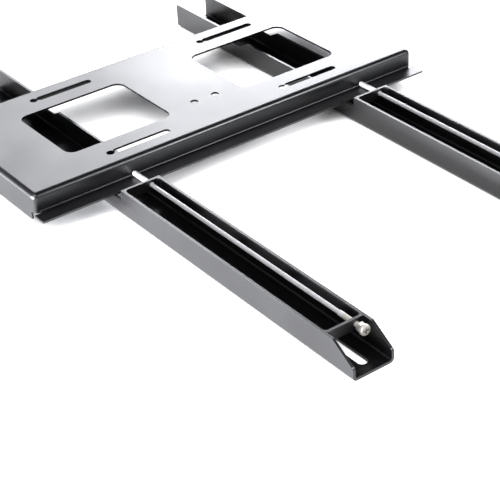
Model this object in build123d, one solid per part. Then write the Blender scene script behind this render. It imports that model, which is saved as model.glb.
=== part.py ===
from build123d import *
import math
import os

# Fixed tv wall bracket, in millimetres, lying on the side that the screen is bolted to.
# X runs across the wall, Y up the wall and Z towards the wall.
# The origin is under the middle of the wall plate, half way along the arms, on the screen's back.

# Overall
depth = 37.7
plate_width = 450.0
plate_height = 187.0
arm_length = 640.0
arm_spacing = 275.0
arm_shift = 7.3

# Wall plate, pressed from one sheet as a shallow pan, with a lip folded out along its lower and upper edge
plate_thick = 2.0
plate_corner = 5.0
lip_reach = 17.2
lip_bend = 2.2
lip_beyond = 2.2
lip_corner = 2.0
end_flange_gap = 10.1
corner_notch = 7.8

# Openings and holes of the wall plate
opening_count = 2
opening_pitch = 203.0
opening_width = 118.0
opening_height = 97.4
opening_corner = 10.0
opening_start = 64.8
wall_hole = 8.0
wall_slot_length = 63.5
wall_slot_neck = 3.0
wall_slot_inset = 21.9
wall_hole_from_opening = 31.2
level_hole = 8.0
level_pitch = 25.0
level_offset = 1.7
level_inset = 54.6

# Arms, each a folded channel that opens towards the wall
arm_width = 42.0
arm_depth = 27.5
arm_thick = 2.5
arm_bend = 2.0
foot_edge = 11.8
foot_slope = 24.8
foot_corner = 4.0

# Notches of the arms, in which the two lips of the plate sit
notch_from_foot = 327.7
notch_cut = 10.5
notch_edge = 0.8
lip_gap = 11.5
rib_cut = 3.8
flank_run = 12.7
lower_notch_run = 10.0
hook_lift = 22.0
hook_gap = 0.5
hook_entry = 1.5
hook_behind = 1.8
slide_gap = 0.3

# Slots for the screen's bolts in the web of each arm: a wide one at each end, and narrow ones between
end_slot_width = 9.0
end_slot_length = 48.0
end_slot_margin = 9.8
bolt_slot_width = 6.5
bolt_slot_length = 62.0
bolt_slot_count = 3
bolt_slot_pitch = 72.0
bolt_slot_from_end_slot = 77.7

# Straps across each arm, welded on their inner side
strap_thick = 2.5
strap_height = 10.4
screw_strap_from_notch = 291.0
weld_leg = 3.5

# Lock screw of each arm
screw_offset = 10.9
shank = 4.0
thread = 5.0
thread_length = 30.2
thread_gap = 0.05
nose = 5.2
nose_gap = 0.1
nose_edge = 2.2
nose_solid = 10.0
end_play = 0.1
tip_gap = 0.5
head = 10.0
head_height = 2.8
head_round = 1.2
head_stand_off = 9.7
recess_width = 1.6
recess_length = 6.5
recess_depth = 1.8
nut_flats = 8.0
nut_height = 3.5
nut_edge = 0.5
nut_from_head = 1.7

# Heights and places that follow from the sizes above
arm_foot = -arm_length / 2
arm_top = arm_length / 2
notch_y = arm_foot + notch_from_foot
notch_floor = arm_depth - notch_cut
rib_height = arm_depth - rib_cut
lip_under = notch_floor + slide_gap
lip_top = lip_under + plate_thick
flange_low = notch_y + lip_gap + lip_reach
flange_high = flange_low + plate_height
lip_low = flange_low - lip_reach
lip_high = flange_high + lip_reach
plate_middle = (flange_low + flange_high) / 2
plate_left = -plate_width / 2
web_inner = arm_width / 2 - arm_thick
strap_floor = arm_depth - strap_height
screw_z = arm_depth - strap_height / 2
screw_strap_y = notch_y - screw_strap_from_notch - strap_thick
head_y = screw_strap_y - head_stand_off
tip_y = flange_low - tip_gap
shank_end = tip_y - nose_solid
arm_places = {"left": arm_shift - arm_spacing / 2, "right": arm_shift + arm_spacing / 2}


def sheet_section(plane, outer, inner, outer_radii, inner_radii):
    """The section of a folded sheet, from the corners of its two faces and the bend radius at each."""
    with BuildSketch(plane) as section:
        with BuildLine():
            FilletPolyline(*outer, radius=outer_radii)
            FilletPolyline(*inner, radius=inner_radii)
            Line(outer[0], inner[0])
            Line(outer[-1], inner[-1])
        make_face()
    return section.sketch


def slot_cutter(x, y, length, width, low, high):
    """A round-ended slot along X, cut from one height to another."""
    return Pos(x, y, low) * extrude(SlotOverall(length, width), high - low)


def edges_at(solid, axis, place, reach=0.01):
    """The edges of a solid whose middle lies at one place along an axis."""
    return solid.edges().filter_by_position(axis, place - reach, place + reach)


# Wall plate


def rounded_block(width, height, low, high, radius):
    """A block centred on the wall plate, with its upright and upper edges rounded."""
    block = Pos(0, plate_middle, (low + high) / 2) * Box(width, height, high - low)
    top = block.faces().sort_by(Axis.Z)[-1]
    return fillet(block.edges().filter_by(Axis.Z) + top.edges(), radius)


def plate_pan():
    """The wall face with the flanges all around it."""
    t = plate_thick
    outside = rounded_block(plate_width, plate_height, end_flange_gap, depth, plate_corner)
    return outside - rounded_block(
        plate_width - 2 * t, plate_height - 2 * t, end_flange_gap - t, depth - t, plate_corner - t
    )


def lower_edge_cut(fold_top):
    """What the pan loses along its lower edge: the flange below the fold, and the two corners beside the lip."""
    t = plate_thick
    low = end_flange_gap - t
    corner_top = (lip_under + lip_top) / 2
    flange = Box(plate_width - 2 * plate_corner, 4 * t, fold_top - low)
    corners = Box(2 * plate_width, 2 * corner_notch, corner_top - low)
    cut = Pos(0, flange_low, (fold_top + low) / 2) * flange
    return cut + Pos(0, flange_low, (corner_top + low) / 2) * corners


def lower_lip(fold_top):
    """The lip along the lower edge, a little wider than the pan, with the fold that joins it to the flange."""
    t = plate_thick
    outer = [(lip_low + lip_corner, lip_top), (flange_low, lip_top), (flange_low, fold_top)]
    inner = [(lip_low + lip_corner, lip_under), (flange_low + t, lip_under), (flange_low + t, fold_top)]
    section = sheet_section(Plane.YZ, outer, inner, [lip_bend], [lip_bend + t])
    fold_width = plate_width - 2 * plate_corner
    fold = Pos(-fold_width / 2, 0, 0) * extrude(section, fold_width)
    slab_depth = lip_reach - lip_bend
    slab = Pos(0, lip_low + slab_depth / 2, lip_under + t / 2) * Box(plate_width + 2 * lip_beyond, slab_depth, t)
    return fold + fillet(edges_at(slab, Axis.Y, lip_low).filter_by(Axis.Z), lip_corner)


def opening_places():
    """The middle of each large opening along X."""
    first = plate_left + opening_start + opening_width / 2
    return [first + i * opening_pitch for i in range(opening_count)]


def plate_holes():
    """Cutters for the openings, the slotted wall holes and the pair of level holes."""
    low, high = depth - 2 * plate_thick, depth + plate_thick
    cutters = []
    for x in opening_places():
        window = RectangleRounded(opening_width, opening_height, opening_corner)
        cutters.append(Pos(x, plate_middle, low) * extrude(window, high - low))
        hole_x = x - opening_width / 2 + wall_hole_from_opening
        r = wall_hole / 2
        overlap = r - math.sqrt(r**2 - (wall_slot_neck / 2) ** 2)
        slot_x = hole_x + wall_hole - 2 * overlap - r + wall_slot_length / 2
        for y in (flange_low + wall_slot_inset, flange_high - wall_slot_inset):
            cutters.append(Pos(hole_x, y, low) * extrude(Circle(r), high - low))
            cutters.append(slot_cutter(slot_x, y, wall_slot_length, wall_hole, low, high))
    between_openings = sum(opening_places()) / opening_count
    for side in (-1, 1):
        x = between_openings + level_offset + side * level_pitch / 2
        cutters.append(Pos(x, flange_low + level_inset, low) * extrude(Circle(level_hole / 2), high - low))
    return cutters


def wall_plate():
    """The whole pressed sheet. Its upper edge is the mirror image of the lower one."""
    fold_top = lip_under + lip_bend + 2 * plate_thick
    across = Plane((0, plate_middle, 0), z_dir=(0, 1, 0))
    cut, lip = lower_edge_cut(fold_top), lower_lip(fold_top)
    plate = plate_pan() - cut - mirror(cut, across) + lip + mirror(lip, across)
    for cutter in plate_holes():
        plate -= cutter
    return plate


# Arms


def arm_outline_cut():
    """What is taken off the channel's walls, seen from the side: the foot, both notches and the hook's throat."""
    over = arm_depth + 5
    past = 5
    far_floor = flange_high - plate_thick - hook_lift
    near_floor = flange_low + plate_thick + lower_notch_run
    hook = flange_high + hook_behind
    throat_end = lip_high + slide_gap
    throat_top = lip_top + hook_gap
    with BuildSketch(Plane.YZ) as cut:
        with BuildLine():
            Polyline(
                (arm_foot - past, over),
                (arm_foot - past, foot_edge),
                (arm_foot, foot_edge),
                (arm_foot + foot_slope, arm_depth),
                (arm_foot + foot_slope, over),
                close=True,
            )
        make_face()
        with BuildLine() as notches:
            Polyline(
                (notch_y, over),
                (notch_y, notch_floor),
                (near_floor, notch_floor),
                (near_floor + flank_run, rib_height),
                (far_floor - flank_run, rib_height),
                (far_floor, notch_floor),
                (throat_end, notch_floor),
                (throat_end, throat_top),
                (hook + hook_entry, throat_top),
                (hook, throat_top + hook_entry),
                (hook, over),
                close=True,
            )
        make_face(notches.edges())
        inner = [
            v
            for v in cut.vertices()
            if abs(v.Z - notch_floor) < 0.01 and (abs(v.Y - notch_y) < 0.01 or abs(v.Y - throat_end) < 0.01)
        ]
        fillet(inner, notch_edge)
    return Pos(-arm_width, 0, 0) * extrude(cut.sketch, 2 * arm_width)


def bolt_slots():
    """Cutters for the slots in the web, which run along the arm."""
    end_y = arm_top - end_slot_margin - end_slot_length / 2
    wide = extrude(SlotOverall(end_slot_length, end_slot_width, rotation=90), 3 * arm_thick)
    narrow = extrude(SlotOverall(bolt_slot_length, bolt_slot_width, rotation=90), 3 * arm_thick)
    first = bolt_slot_from_end_slot - end_y
    places = [first + i * bolt_slot_pitch for i in range(bolt_slot_count)]
    places.append(-places[-1])
    cutters = [Pos(0, y, -arm_thick) * wide for y in (-end_y, end_y)]
    return cutters + [Pos(0, y, -arm_thick) * narrow for y in places]


def arm_channel():
    """One arm: a folded channel with notched walls, a sloped foot and slots in its web."""
    half, t = arm_width / 2, arm_thick
    outer = [(-half, arm_depth), (-half, 0), (half, 0), (half, arm_depth)]
    inner = [(-half + t, arm_depth), (-half + t, t), (half - t, t), (half - t, arm_depth)]
    section = sheet_section(Plane.XZ, outer, inner, [arm_bend + t] * 2, [arm_bend] * 2)
    channel = Pos(0, arm_top, 0) * extrude(section, arm_length)
    channel -= arm_outline_cut()
    for cutter in bolt_slots():
        channel -= cutter
    foot = [e for e in edges_at(channel, Axis.Z, foot_edge) if abs(e.center().Y - arm_foot) < 0.01]
    return fillet(foot, foot_corner)


def strap(y, hole, weld_side):
    """A flat strap across the arm with one hole for the lock screw, and its weld in the two corners of one side."""
    body = Pos(0, y + strap_thick / 2, screw_z) * Box(2 * web_inner, strap_thick, strap_height)
    face_y = y if weld_side < 0 else y + strap_thick
    for side in (-1, 1):
        x = side * web_inner
        with BuildSketch(Plane.XY.offset(strap_floor)) as weld:
            with BuildLine():
                Line((x, face_y), (x - side * weld_leg, face_y))
                Line((x, face_y), (x, face_y + weld_side * weld_leg))
                RadiusArc(
                    (x - side * weld_leg, face_y),
                    (x, face_y + weld_side * weld_leg),
                    -side * weld_side * weld_leg * 1.2,
                )
            make_face()
        body += extrude(weld.sketch, strap_height)
    bore = Cylinder(hole / 2, 3 * strap_thick, rotation=(90, 0, 0))
    return body - Pos(screw_offset, y + strap_thick / 2, screw_z) * bore


def along_arm(radius, low, high):
    """A round bar along the lock screw's axis, between two places on Y."""
    bar = Cylinder(radius, high - low, rotation=(90, 0, 0))
    return Pos(screw_offset, (low + high) / 2, screw_z) * bar


def lock_screw():
    """The long screw: a pan head with a cross recess, a threaded length and a thinner shank."""
    pan = along_arm(head / 2, head_y - head_height, head_y)
    pan = fillet(edges_at(pan, Axis.Y, head_y - head_height), head_round)
    low = head_y - head_height
    for size in ((recess_length, recess_width), (recess_width, recess_length)):
        slot = Box(size[0], 2 * recess_depth, size[1])
        pan -= Pos(screw_offset, low, screw_z) * slot
    screw = pan + along_arm(thread / 2, head_y, head_y + thread_length)
    screw += along_arm(shank / 2, head_y + thread_length, shank_end)
    return screw


def nose_sleeve():
    """The thicker sleeve with a round end, which slides in the upper strap while the shank turns in it."""
    low = notch_y - strap_thick
    sleeve = along_arm(nose / 2, low, tip_y)
    sleeve = fillet(edges_at(sleeve, Axis.Y, tip_y), nose_edge)
    return sleeve - along_arm(shank / 2 + thread_gap, low - 1, shank_end + end_play)


def jam_nut():
    """A hexagon nut run up close to the head of the lock screw."""
    nut = extrude(RegularPolygon(nut_flats / 2, 6, major_radius=False), nut_height)
    nut = chamfer(nut.edges().group_by(Axis.Z)[0] + nut.edges().group_by(Axis.Z)[-1], nut_edge / 2)
    low = head_y + nut_from_head
    nut = Pos(screw_offset, low + nut_height, screw_z) * Rot(90, 0, 0) * nut
    return nut - along_arm(thread / 2 + thread_gap, low - 1, low + nut_height + 1)


def arm_pieces():
    """The pieces of one arm, with its middle at X = 0."""
    return {
        "arm_channel": arm_channel(),
        "guide_strap": strap(notch_y - strap_thick, nose + 2 * nose_gap, -1),
        "screw_strap": strap(screw_strap_y, thread + 2 * thread_gap, 1),
        "lock_screw": lock_screw(),
        "nose_sleeve": nose_sleeve(),
        "jam_nut": jam_nut(),
    }


def all_pieces():
    """Every piece by name, in place."""
    pieces = {"wall_plate": wall_plate()}
    one_arm = arm_pieces()
    for side, x in arm_places.items():
        for name, shape in one_arm.items():
            pieces[f"{side}_{name}"] = Pos(x, 0, 0) * shape
    return pieces


os.makedirs("parts", exist_ok=True)
for name, shape in all_pieces().items():
    export_step(shape, f"parts/{name}.step")
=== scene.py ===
import math

import bpy
from mathutils import Matrix, Vector


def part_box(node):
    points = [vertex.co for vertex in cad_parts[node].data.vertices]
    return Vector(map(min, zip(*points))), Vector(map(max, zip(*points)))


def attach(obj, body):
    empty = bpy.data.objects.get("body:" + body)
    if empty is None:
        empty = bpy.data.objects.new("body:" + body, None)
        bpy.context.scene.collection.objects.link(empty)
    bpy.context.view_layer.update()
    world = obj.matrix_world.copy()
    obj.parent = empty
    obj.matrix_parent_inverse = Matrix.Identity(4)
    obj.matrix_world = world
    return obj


bl_info = {
    "name": "Fixed Screen Bracket",
    "version": (1, 0, 0),
    "blender": (4, 5, 0),
    "location": "3D View > Sidebar > Bracket",
    "description": "Finishes a low-profile wall bracket and sets up its studio",
    "category": "Object",
}

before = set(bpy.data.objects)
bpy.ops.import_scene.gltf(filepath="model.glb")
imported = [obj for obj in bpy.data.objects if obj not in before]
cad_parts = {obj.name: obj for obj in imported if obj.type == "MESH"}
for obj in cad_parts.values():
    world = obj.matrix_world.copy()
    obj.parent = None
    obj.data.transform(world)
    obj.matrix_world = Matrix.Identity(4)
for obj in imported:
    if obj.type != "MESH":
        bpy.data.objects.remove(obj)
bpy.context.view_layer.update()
SIDES = ("left", "right")

# Powder coat, with lengths in metres
EDGE_REACH = 0.0006
EDGE_TURN = (0.8, 0.995)
# Painted shade: the coat reflects less in its recesses, down to the least gloss given below.
RECESS_REACH = 0.035
RECESS_OPENNESS = (0.5, 0.93)
LEAST_GLOSS_IN_SHADE = 0.15
PUNCH_MARGIN = 0.012
PUNCH_DEPTH = 0.0021
PUNCH_TILT = 0.3
CLOUD_SCALE = 14.0
CLOUD_SPREAD = (0.03, 0.04)
PEEL_STRENGTH = 0.12
PEEL_DEPTH = 0.00006

# Zinc plate, with lengths in metres
HEAD_METALLIC = 0.85
SHANK_METALLIC = 0.35
SHANK_ROUGHNESS = 0.5
NUT_ROUGHNESS = 0.36
ALONG_ARM = (1.0, 0.03, 1.0)
EVENLY = (1.0, 1.0, 1.0)
STREAK_SCALE = 900.0
STREAK_SPREAD = (0.06, 0.1)
STREAK_STRENGTH = 0.1
STREAK_DEPTH = 0.00003
SPOT_SCALE = 220.0
SPOT_RANGE = (0.45, 0.75)
SPOT_MOST = 0.25
SPOT_COLOUR = (0.5, 0.5, 0.5, 1.0)
# Painted shade in the crevices of the zinc: how far it looks, which openness counts as open, and the dark
# colour.
CREVICE_REACH = 0.0018
CREVICE_OPENNESS = (0.2, 0.75)
CREVICE_SHADE_COLOUR = (0.06, 0.055, 0.05, 1.0)

# Thread of the lock screws, in metres, but with half the ridge's width in parts of the pitch
THREAD_RADIUS = 0.0025
THREAD_STEPS = 20
RIDGE_HALF = 0.42
RIDGE_SUNK = 0.00003

# Samples for each look at how open a surface is, or how sharply it turns
EDGE_SAMPLES = 4
PIECE_SAMPLES = 8
FLOOR_SAMPLES = 16

# Studio, with lengths in metres and the camera's sensor in millimetres
FLOOR_HALF = 12.0
FLOOR_HEIGHT = -0.0001
FLOOR_SHADE_REACH = 0.08
FLOOR_SHADE = (0.22, 0.45)
FLOOR_IN_METAL = 0.35
WORLD_LEVEL = 0.15
WORLD_IN_METAL = 0.0
LAMP_COLOUR = (0.947, 0.957, 1.0)
SENSOR_WIDTH = 36.0
LENS_SHIFT = (-0.001, 0.001)

# Each lamp's place, target and size, the setting that holds its power, and its share of that power
PLATE_TARGET = (0.0, 0.13, 0.04)
ARM_TARGET = (-0.15, 0.0, 0.01)
LAMPS = {
    "back_lamp": ((1.86, 1.69, 0.65), PLATE_TARGET, (1.6, 0.9), "back_power", 1.0),
    "upper_lamp": ((0.93, 2.13, 1.21), PLATE_TARGET, (0.9, 0.9), "back_power", 0.2),
    "low_lamp": ((-1.8, 0.45, 0.07), ARM_TARGET, (1.2, 0.1), "low_power", 1.0),
    "side_lamp": ((-1.8, -0.3, 0.07), ARM_TARGET, (1.0, 0.1), "low_power", 0.25),
    "front_lamp": ((0.8, -1.13, 0.84), PLATE_TARGET, (0.35, 0.3), "front_power", 1.0),
    "fill_lamp": ((-1.35, -0.45, 1.45), ARM_TARGET, (2.0, 2.0), "fill_power", 1.0),
}


# Settings


class BracketCoatSettings(bpy.types.PropertyGroup):
    """The black powder coat of the sheet metal."""

    colour: bpy.props.FloatVectorProperty(
        name="Colour",
        description="Colour of the powder coat",
        subtype="COLOR",
        size=4,
        min=0.0,
        max=1.0,
        default=(0.004, 0.004, 0.0046, 1.0),
    )
    # Painted highlight: this paler colour along folds and cut edges stands in for the light that their
    # edges catch.
    edge_highlight_colour: bpy.props.FloatVectorProperty(
        name="Thin Colour",
        description="Colour where the coat is thin, along folds and cut edges",
        subtype="COLOR",
        size=4,
        min=0.0,
        max=1.0,
        default=(0.06, 0.061, 0.065, 1.0),
    )
    roughness: bpy.props.FloatProperty(
        name="Roughness",
        description="How matt the coat is",
        subtype="FACTOR",
        min=0.0,
        max=1.0,
        default=0.33,
    )
    gloss: bpy.props.FloatProperty(
        name="Gloss",
        description="Index of refraction of the coat, which sets how strongly it mirrors",
        min=1.0,
        max=3.0,
        default=1.55,
    )
    grain: bpy.props.FloatProperty(
        name="Grain",
        description="Width of the small waves in the coat",
        subtype="DISTANCE",
        unit="LENGTH",
        min=0.0002,
        max=0.01,
        default=0.0011,
        precision=4,
    )


class BracketZincSettings(bpy.types.PropertyGroup):
    """The zinc plate of the lock screws."""

    rod_colour: bpy.props.FloatVectorProperty(
        name="Rod Colour",
        description="Colour of the zinc on the long shanks and their noses",
        subtype="COLOR",
        size=4,
        min=0.0,
        max=1.0,
        default=(0.98, 0.98, 0.975, 1.0),
    )
    nut_colour: bpy.props.FloatVectorProperty(
        name="Nut Colour",
        description="Colour of the warmer zinc on the nuts and heads",
        subtype="COLOR",
        size=4,
        min=0.0,
        max=1.0,
        default=(0.84, 0.8, 0.72, 1.0),
    )
    warm_reach: bpy.props.FloatProperty(
        name="Warm Reach",
        description="How far the warmer zinc reaches along the screw from the end of its head",
        subtype="DISTANCE",
        unit="LENGTH",
        min=0.0,
        max=0.1,
        default=0.027,
        precision=4,
    )
    thread_reach: bpy.props.FloatProperty(
        name="Thread Reach",
        description="How far the thread reaches along the screw from the end of its head",
        subtype="DISTANCE",
        unit="LENGTH",
        min=0.01,
        max=0.1,
        default=0.033,
        precision=4,
    )
    thread_pitch: bpy.props.FloatProperty(
        name="Thread Pitch",
        description="Distance between two turns of the thread",
        subtype="DISTANCE",
        unit="LENGTH",
        min=0.0004,
        max=0.002,
        default=0.0008,
        precision=4,
    )
    thread_depth: bpy.props.FloatProperty(
        name="Thread Depth",
        description="How far the ridges of the thread stand out of the screw",
        subtype="DISTANCE",
        unit="LENGTH",
        min=0.00001,
        max=0.0002,
        default=0.00004,
        precision=5,
    )


class BracketStudioSettings(bpy.types.PropertyGroup):
    """The floor, the lamps and the camera."""

    floor_colour: bpy.props.FloatVectorProperty(
        name="Floor Colour",
        description="Colour of the floor",
        subtype="COLOR",
        size=4,
        min=0.0,
        max=1.0,
        default=(0.9, 0.9, 0.9, 1.0),
    )
    lens: bpy.props.FloatProperty(
        name="Lens",
        description="Focal length of the camera in millimetres",
        min=20.0,
        max=300.0,
        default=111.96,
    )
    camera_place: bpy.props.FloatVectorProperty(
        name="Camera Place",
        description="Where the camera stands",
        subtype="TRANSLATION",
        unit="LENGTH",
        size=3,
        default=(-0.75754, -1.06112, 0.73296),
        precision=5,
    )
    camera_turn: bpy.props.FloatVectorProperty(
        name="Camera Turn",
        description="Heading, downward pitch and roll of the camera",
        subtype="EULER",
        unit="ROTATION",
        size=3,
        default=(math.radians(-34.909), math.radians(32.449), math.radians(-3.341)),
    )
    back_power: bpy.props.FloatProperty(
        name="Back Power",
        description="Power of the large lamp behind the bracket. The one above it has a fifth of this",
        unit="POWER",
        min=0.0,
        max=500.0,
        default=69.0,
    )
    low_power: bpy.props.FloatProperty(
        name="Low Power",
        description="Power of the long lamp by the floor at the left. The one beside it has a quarter",
        unit="POWER",
        min=0.0,
        max=500.0,
        default=180.0,
    )
    front_power: bpy.props.FloatProperty(
        name="Front Power",
        description="Power of the small lamp in front, which glints in the folds",
        unit="POWER",
        min=0.0,
        max=100.0,
        default=10.5,
    )
    fill_power: bpy.props.FloatProperty(
        name="Fill Power",
        description="Power of the broad lamp above the left of the bracket",
        unit="POWER",
        min=0.0,
        max=500.0,
        default=28.0,
    )


# Node materials


def fresh_tree(owner, output_kind):
    """The node tree of a material or world, emptied but for a new output."""
    owner.use_nodes = True
    tree = owner.node_tree
    tree.nodes.clear()
    return tree, tree.nodes.new(output_kind)


def fresh_material(name):
    """An empty node material with its output and one Principled shader."""
    material = bpy.data.materials.new(name)
    tree, output = fresh_tree(material, "ShaderNodeOutputMaterial")
    shader = tree.nodes.new("ShaderNodeBsdfPrincipled")
    tree.links.new(shader.outputs["BSDF"], output.inputs["Surface"])
    return material, tree, shader


def feed(tree, socket, value):
    """Gives a socket a plain value, or links it to the output of another node."""
    if isinstance(value, bpy.types.NodeSocket):
        tree.links.new(value, socket)
    else:
        socket.default_value = value


def noise(tree, scale, detail, stretch=EVENLY):
    """A noise pattern in the object's own space."""
    place = tree.nodes.new("ShaderNodeTexCoord")
    mapping = tree.nodes.new("ShaderNodeMapping")
    mapping.inputs["Scale"].default_value = stretch
    pattern = tree.nodes.new("ShaderNodeTexNoise")
    pattern.inputs["Scale"].default_value = scale
    pattern.inputs["Detail"].default_value = detail
    tree.links.new(place.outputs["Object"], mapping.inputs["Vector"])
    tree.links.new(mapping.outputs["Vector"], pattern.inputs["Vector"])
    return pattern.outputs["Fac"]


def ramp(tree, source, low, high, from_low=0.3, from_high=0.7):
    """Turns a pattern into values between low and high."""
    node = tree.nodes.new("ShaderNodeMapRange")
    node.inputs["From Min"].default_value = from_low
    node.inputs["From Max"].default_value = from_high
    node.inputs["To Min"].default_value = low
    node.inputs["To Max"].default_value = high
    tree.links.new(source, node.inputs["Value"])
    return node.outputs["Result"]


def maths(tree, operation, *terms):
    """One Math node. Each term is a plain number or the output of another node."""
    node = tree.nodes.new("ShaderNodeMath")
    node.operation = operation
    for i, term in enumerate(terms):
        feed(tree, node.inputs[i], term)
    return node.outputs["Value"]


def blend_colours(tree, factor, first, second):
    """Mixes two colours by a factor. Each is a plain colour or the output of another node."""
    node = tree.nodes.new("ShaderNodeMix")
    node.data_type = "RGBA"
    feed(tree, node.inputs["A"], first)
    feed(tree, node.inputs["B"], second)
    tree.links.new(factor, node.inputs["Factor"])
    return node.outputs["Result"]


def parts_of(tree, kind, name):
    """The three parts of a vector that a node of one kind gives."""
    source = tree.nodes.new(kind)
    parts = tree.nodes.new("ShaderNodeSeparateXYZ")
    tree.links.new(source.outputs[name], parts.inputs["Vector"])
    return parts.outputs


def edge_mask(tree, radius):
    """Near 1 along folds and cut edges, and 0 on flat faces."""
    rounded = tree.nodes.new("ShaderNodeBevel")
    rounded.samples = EDGE_SAMPLES
    rounded.inputs["Radius"].default_value = radius
    flat = tree.nodes.new("ShaderNodeNewGeometry")
    facing = tree.nodes.new("ShaderNodeVectorMath")
    facing.operation = "DOT_PRODUCT"
    tree.links.new(rounded.outputs["Normal"], facing.inputs[0])
    tree.links.new(flat.outputs["Normal"], facing.inputs[1])
    return ramp(tree, facing.outputs["Value"], 1.0, 0.0, *EDGE_TURN)


def openness(tree, reach, samples, own):
    """1 where a surface is open, and lower in recesses: of its own object alone, or of all the pieces."""
    node = tree.nodes.new("ShaderNodeAmbientOcclusion")
    node.samples = samples
    node.only_local = own
    node.inputs["Distance"].default_value = reach
    return node.outputs["AO"]


def punched_walls(tree):
    """1 on the walls of the holes and openings that are punched in the wall plate, and 0 elsewhere."""
    low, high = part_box("wall_plate")
    place = parts_of(tree, "ShaderNodeTexCoord", "Object")
    facing = parts_of(tree, "ShaderNodeNewGeometry", "True Normal")
    limits = (
        (place["X"], (low.x + high.x) / 2, (high.x - low.x) / 2 - PUNCH_MARGIN),
        (place["Y"], (low.y + high.y) / 2, (high.y - low.y) / 2 - 2 * PUNCH_MARGIN),
        (place["Z"], high.z, PUNCH_DEPTH),
        (facing["Z"], 0.0, PUNCH_TILT),
    )
    inside = 1.0
    for value, middle, reach in limits:
        inside = maths(tree, "MULTIPLY", maths(tree, "COMPARE", value, middle, reach), inside)
    return inside


def bumped(tree, shader, height, strength, distance):
    """Bumps the shader's surface by a height pattern."""
    bump = tree.nodes.new("ShaderNodeBump")
    bump.inputs["Strength"].default_value = strength
    bump.inputs["Distance"].default_value = distance
    tree.links.new(height, bump.inputs["Height"])
    tree.links.new(bump.outputs["Normal"], shader.inputs["Normal"])


def powder_coat():
    """Satin black powder coat with faint orange peel, a paler colour along the edges as painted highlight,
    and less reflection in the recesses and on the punched walls as painted shade.
    """
    settings = bpy.context.scene.bracket_coat
    material, tree, shader = fresh_material("black_powder_coat")
    edges = edge_mask(tree, EDGE_REACH)
    bare = openness(tree, RECESS_REACH, PIECE_SAMPLES, own=True)
    recess = ramp(tree, bare, 1.0, 0.0, *RECESS_OPENNESS)
    punched = punched_walls(tree)
    # Painted highlight: the folds and cut edges take the paler colour, except on the punched walls.
    painted_highlight = blend_colours(tree, punched, settings.edge_highlight_colour, settings.colour)
    colour = blend_colours(tree, edges, settings.colour, painted_highlight)
    tree.links.new(colour, shader.inputs["Base Color"])
    clouds = noise(tree, CLOUD_SCALE, 4.0)
    less, more = CLOUD_SPREAD
    rough = ramp(tree, clouds, settings.roughness - less, settings.roughness + more)
    tree.links.new(rough, shader.inputs["Roughness"])
    # Painted shade: the coat reflects less in its recesses and on the punched walls, standing in for the
    # shade there.
    painted_shade = maths(tree, "MAXIMUM", recess, punched)
    level = ramp(tree, painted_shade, 1.0, LEAST_GLOSS_IN_SHADE, 0.0, 1.0)
    tree.links.new(level, shader.inputs["Specular IOR Level"])
    shader.inputs["IOR"].default_value = settings.gloss
    peel = noise(tree, 1.0 / settings.grain, 2.0)
    bumped(tree, shader, peel, PEEL_STRENGTH, PEEL_DEPTH)
    return material


def beyond(tree, limit, soft=0.0004):
    """0 before a place along the arm and 1 beyond it, in the object's own space."""
    along = parts_of(tree, "ShaderNodeTexCoord", "Object")["Y"]
    return ramp(tree, along, 0.0, 1.0, limit - soft, limit + soft)


def zinc(name, colour, metallic, roughness, stretch):
    """Bright zinc plate with fine streaks, and painted shade that darkens its crevices.

    The colour and the metallic value are plain, or functions that build nodes for them in the tree.
    """
    material, tree, shader = fresh_material(name)
    streaks = noise(tree, STREAK_SCALE, 3.0, stretch)
    spots = ramp(tree, noise(tree, SPOT_SCALE, 4.0), 0.0, SPOT_MOST, *SPOT_RANGE)
    plate = colour(tree) if callable(colour) else colour
    dulled = blend_colours(tree, spots, plate, SPOT_COLOUR)
    # Painted shade: the colour darkens where the pieces close the zinc in.
    bare = openness(tree, CREVICE_REACH, PIECE_SAMPLES, own=False)
    crevices = ramp(tree, bare, 1.0, 0.0, *CREVICE_OPENNESS)
    shaded = blend_colours(tree, crevices, dulled, CREVICE_SHADE_COLOUR)
    tree.links.new(shaded, shader.inputs["Base Color"])
    feed(tree, shader.inputs["Metallic"], metallic(tree) if callable(metallic) else metallic)
    less, more = STREAK_SPREAD
    rough = ramp(tree, streaks, roughness - less, roughness + more)
    tree.links.new(rough, shader.inputs["Roughness"])
    bumped(tree, shader, streaks, STREAK_STRENGTH, STREAK_DEPTH)
    return material


def coat_material():
    """The powder coat, shared by all of the sheet metal."""
    return bpy.data.materials.get("black_powder_coat") or powder_coat()


def zinc_material(name, *look):
    """The zinc of that name, made on first use."""
    return bpy.data.materials.get(name) or zinc(name, *look)


def rod_material():
    """The cooler zinc of the noses."""
    settings = bpy.context.scene.bracket_zinc
    return zinc_material("rod_zinc", settings.rod_colour, SHANK_METALLIC, SHANK_ROUGHNESS, ALONG_ARM)


def screw_material():
    """The zinc of the lock screws: warm on the head and the thread next to it, and cooler on the shank."""
    settings = bpy.context.scene.bracket_zinc
    warm_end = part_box("left_lock_screw")[0].y + settings.warm_reach
    nut_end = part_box("left_jam_nut")[1].y

    def colour(tree):
        return blend_colours(tree, beyond(tree, warm_end), settings.nut_colour, settings.rod_colour)

    def metallic(tree):
        return ramp(tree, beyond(tree, nut_end), HEAD_METALLIC, SHANK_METALLIC, 0.0, 1.0)

    return zinc_material("screw_zinc", colour, metallic, SHANK_ROUGHNESS, ALONG_ARM)


def nut_material():
    """The warmer zinc of the nuts."""
    settings = bpy.context.scene.bracket_zinc
    return zinc_material("nut_zinc", settings.nut_colour, HEAD_METALLIC, NUT_ROUGHNESS, EVENLY)


def paint_node(node, material):
    """Gives a CAD node one material."""
    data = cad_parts[node].data
    if not data.materials:
        data.materials.append(material)
    for i in range(len(data.materials)):
        data.materials[i] = material


# Pieces


def lock_axis(side):
    """The middle of a lock screw, across the arm and above the floor."""
    low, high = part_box(f"{side}_lock_screw")
    return (low.x + high.x) / 2, (low.z + high.z) / 2


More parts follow.
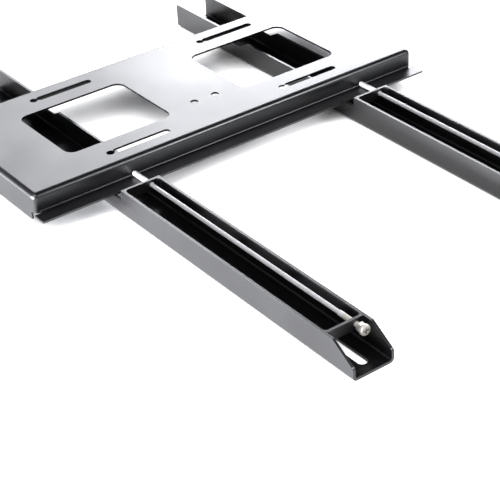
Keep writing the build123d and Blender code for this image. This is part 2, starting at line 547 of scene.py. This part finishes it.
def thread_ridge(side, start, end, pitch, depth):
    """A helical ridge round the thread of a lock screw: a closed mesh that fades out at its ends."""
    x, z = lock_axis(side)
    count = int((end - start) / pitch * THREAD_STEPS)
    section = ((-RIDGE_HALF, -RIDGE_SUNK), (0.0, depth), (RIDGE_HALF, -RIDGE_SUNK))
    verts, faces = [], []
    for i in range(count + 1):
        angle = 2 * math.pi * i / THREAD_STEPS
        y = start + pitch * i / THREAD_STEPS
        fade = min(1.0, i / THREAD_STEPS, (count - i) / THREAD_STEPS)
        for along, out in section:
            r = THREAD_RADIUS + (out * fade if out > 0 else out)
            verts.append((x + r * math.sin(angle), y + along * pitch, z + r * math.cos(angle)))
    width = len(section)
    for i in range(count):
        for j in range(width):
            a, b = i * width + j, i * width + (j + 1) % width
            faces.append((a, a + width, b + width, b))
    faces.append(tuple(range(width)))
    faces.append(tuple(range(count * width, (count + 1) * width))[::-1])
    mesh = bpy.data.meshes.new(f"{side}_screw_thread")
    mesh.from_pydata(verts, [], faces)
    mesh.update()
    ridge = bpy.data.objects.new(f"{side}_screw_thread", mesh)
    bpy.context.scene.collection.objects.link(ridge)
    return ridge


class BRACKET_OT_wall_plate(bpy.types.Operator):
    """Finish the pressed wall plate"""

    bl_idname = "bracket.wall_plate"
    bl_label = "Wall Plate"

    def execute(self, context):
        paint_node("wall_plate", coat_material())
        return {"FINISHED"}


class BRACKET_OT_arms(bpy.types.Operator):
    """Finish both channel arms"""

    bl_idname = "bracket.arms"
    bl_label = "Arms"

    def execute(self, context):
        for side in SIDES:
            paint_node(f"{side}_arm_channel", coat_material())
        return {"FINISHED"}


class BRACKET_OT_straps(bpy.types.Operator):
    """Finish the straps that are welded across the arms"""

    bl_idname = "bracket.straps"
    bl_label = "Straps"

    def execute(self, context):
        for side in SIDES:
            for name in ("guide_strap", "screw_strap"):
                paint_node(f"{side}_{name}", coat_material())
        return {"FINISHED"}


class BRACKET_OT_lock_screws(bpy.types.Operator):
    """Finish the long lock screws and give them their thread"""

    bl_idname = "bracket.lock_screws"
    bl_label = "Lock Screws"

    def execute(self, context):
        settings = context.scene.bracket_zinc
        for side in SIDES:
            paint_node(f"{side}_lock_screw", screw_material())
            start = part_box(f"{side}_jam_nut")[1].y
            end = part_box(f"{side}_lock_screw")[0].y + settings.thread_reach
            ridge = thread_ridge(side, start, end, settings.thread_pitch, settings.thread_depth)
            ridge.data.materials.append(screw_material())
            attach(ridge, f"{side}_lock")
        return {"FINISHED"}


class BRACKET_OT_noses(bpy.types.Operator):
    """Finish the round-ended sleeves of the lock screws"""

    bl_idname = "bracket.noses"
    bl_label = "Noses"

    def execute(self, context):
        for side in SIDES:
            paint_node(f"{side}_nose_sleeve", rod_material())
        return {"FINISHED"}


class BRACKET_OT_nuts(bpy.types.Operator):
    """Finish the nuts next to the screw heads"""

    bl_idname = "bracket.nuts"
    bl_label = "Nuts"

    def execute(self, context):
        for side in SIDES:
            paint_node(f"{side}_jam_nut", nut_material())
        return {"FINISHED"}


# Studio


def aim(place, target):
    """The turn of a lamp that stands at one place and shines towards another."""
    return (Vector(target) - Vector(place)).to_track_quat("-Z", "Y").to_euler()


def lamp(name, place, target, size, power):
    """A soft rectangular lamp."""
    data = bpy.data.lights.new(name, "AREA")
    data.shape = "RECTANGLE"
    data.size, data.size_y = size
    data.energy = power
    data.color = LAMP_COLOUR
    item = bpy.data.objects.new(name, data)
    item.location = place
    item.rotation_euler = aim(place, target)
    bpy.context.scene.collection.objects.link(item)


def floor_material(colour):
    """A pale floor that the camera sees as white and metal as pale, keeping the lamps' shadows and adding
    a painted shadow where its glow fades near the pieces.
    """
    material = bpy.data.materials.new("studio_floor")
    tree, output = fresh_tree(material, "ShaderNodeOutputMaterial")
    diffuse = tree.nodes.new("ShaderNodeBsdfDiffuse")
    diffuse.inputs["Color"].default_value = colour
    glow = tree.nodes.new("ShaderNodeEmission")
    path = tree.nodes.new("ShaderNodeLightPath")
    in_metal = maths(tree, "MULTIPLY", path.outputs["Is Glossy Ray"], FLOOR_IN_METAL)
    seen = maths(tree, "MAXIMUM", path.outputs["Is Camera Ray"], in_metal)
    # Painted shadow: the glow fades where the pieces close the floor in.
    bare = openness(tree, FLOOR_SHADE_REACH, FLOOR_SAMPLES, own=False)
    unshadowed_glow = ramp(tree, bare, 0.0, 1.0, *FLOOR_SHADE)
    tree.links.new(maths(tree, "MULTIPLY", seen, unshadowed_glow), glow.inputs["Strength"])
    both = tree.nodes.new("ShaderNodeAddShader")
    tree.links.new(diffuse.outputs["BSDF"], both.inputs[0])
    tree.links.new(glow.outputs["Emission"], both.inputs[1])
    tree.links.new(both.outputs["Shader"], output.inputs["Surface"])
    return material


def studio_world():
    """An even grey world, which the camera sees as white."""
    world = bpy.data.worlds.new("studio_world")
    tree, output = fresh_tree(world, "ShaderNodeOutputWorld")
    background = tree.nodes.new("ShaderNodeBackground")
    path = tree.nodes.new("ShaderNodeLightPath")
    strength = WORLD_LEVEL
    for ray, level in (("Is Camera Ray", 1.0), ("Is Glossy Ray", WORLD_IN_METAL)):
        mix = tree.nodes.new("ShaderNodeMix")
        mix.data_type = "FLOAT"
        feed(tree, mix.inputs["A"], strength)
        mix.inputs["B"].default_value = level
        tree.links.new(path.outputs[ray], mix.inputs["Factor"])
        strength = mix.outputs["Result"]
    tree.links.new(strength, background.inputs["Strength"])
    tree.links.new(background.outputs["Background"], output.inputs["Surface"])
    return world


def add_camera(settings):
    """The camera at the photograph's place and angle."""
    heading, pitch, roll = settings.camera_turn
    ahead = Vector((-math.sin(heading), math.cos(heading), 0.0))
    level = Vector((math.cos(heading), math.sin(heading), 0.0))
    forward = ahead * math.cos(pitch) - Vector((0.0, 0.0, math.sin(pitch)))
    upward = level.cross(forward)
    right = level * math.cos(roll) + upward * math.sin(roll)
    up = upward * math.cos(roll) - level * math.sin(roll)
    data = bpy.data.cameras.new("camera")
    data.lens = settings.lens
    data.sensor_width = SENSOR_WIDTH
    data.shift_x, data.shift_y = LENS_SHIFT
    camera = bpy.data.objects.new("camera", data)
    axes = Matrix((right, up, -forward)).transposed().to_4x4()
    camera.matrix_world = Matrix.Translation(Vector(settings.camera_place)) @ axes
    bpy.context.scene.collection.objects.link(camera)
    bpy.context.scene.camera = camera


class BRACKET_OT_studio(bpy.types.Operator):
    """Lay the pale floor and set up the lamps, the world and the camera"""

    bl_idname = "bracket.studio"
    bl_label = "Studio"

    def execute(self, context):
        scene = context.scene
        settings = scene.bracket_studio
        mesh = bpy.data.meshes.new("studio_floor")
        corners = ((-1, -1), (1, -1), (1, 1), (-1, 1))
        verts = [(x * FLOOR_HALF, y * FLOOR_HALF, FLOOR_HEIGHT) for x, y in corners]
        mesh.from_pydata(verts, [], [(0, 1, 2, 3)])
        floor = bpy.data.objects.new("studio_floor", mesh)
        mesh.materials.append(floor_material(tuple(settings.floor_colour)))
        scene.collection.objects.link(floor)
        for name, (place, target, size, power, share) in LAMPS.items():
            lamp(name, place, target, size, getattr(settings, power) * share)
        scene.world = studio_world()
        scene.view_settings.view_transform = "Standard"
        add_camera(settings)
        return {"FINISHED"}


class BRACKET_PT_panel(bpy.types.Panel):
    """Sizes, colours and pieces of the bracket"""

    bl_label = "Bracket"
    bl_idname = "BRACKET_PT_panel"
    bl_space_type = "VIEW_3D"
    bl_region_type = "UI"
    bl_category = "Bracket"

    def draw(self, context):
        column = self.layout.column()
        for group_name in GROUPS:
            group = getattr(context.scene, group_name)
            for name in group.__annotations__:
                column.prop(group, name)
            column.separator()
        for operator in OPERATORS:
            column.operator(operator.bl_idname)


OPERATORS = (
    BRACKET_OT_wall_plate,
    BRACKET_OT_arms,
    BRACKET_OT_straps,
    BRACKET_OT_lock_screws,
    BRACKET_OT_noses,
    BRACKET_OT_nuts,
    BRACKET_OT_studio,
)
GROUPS = {
    "bracket_coat": BracketCoatSettings,
    "bracket_zinc": BracketZincSettings,
    "bracket_studio": BracketStudioSettings,
}


def register():
    for name, group in GROUPS.items():
        bpy.utils.register_class(group)
        setattr(bpy.types.Scene, name, bpy.props.PointerProperty(type=group))
    for operator in OPERATORS:
        bpy.utils.register_class(operator)
    bpy.utils.register_class(BRACKET_PT_panel)


def unregister():
    bpy.utils.unregister_class(BRACKET_PT_panel)
    for operator in reversed(OPERATORS):
        bpy.utils.unregister_class(operator)
    for name, group in GROUPS.items():
        delattr(bpy.types.Scene, name)
        bpy.utils.unregister_class(group)


def main():
    """Registers the classes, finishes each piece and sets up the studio."""
    register()
    bpy.ops.bracket.wall_plate()
    bpy.ops.bracket.arms()
    bpy.ops.bracket.straps()
    bpy.ops.bracket.lock_screws()
    bpy.ops.bracket.noses()
    bpy.ops.bracket.nuts()
    bpy.ops.bracket.studio()


if __name__ == "__main__":
    main()
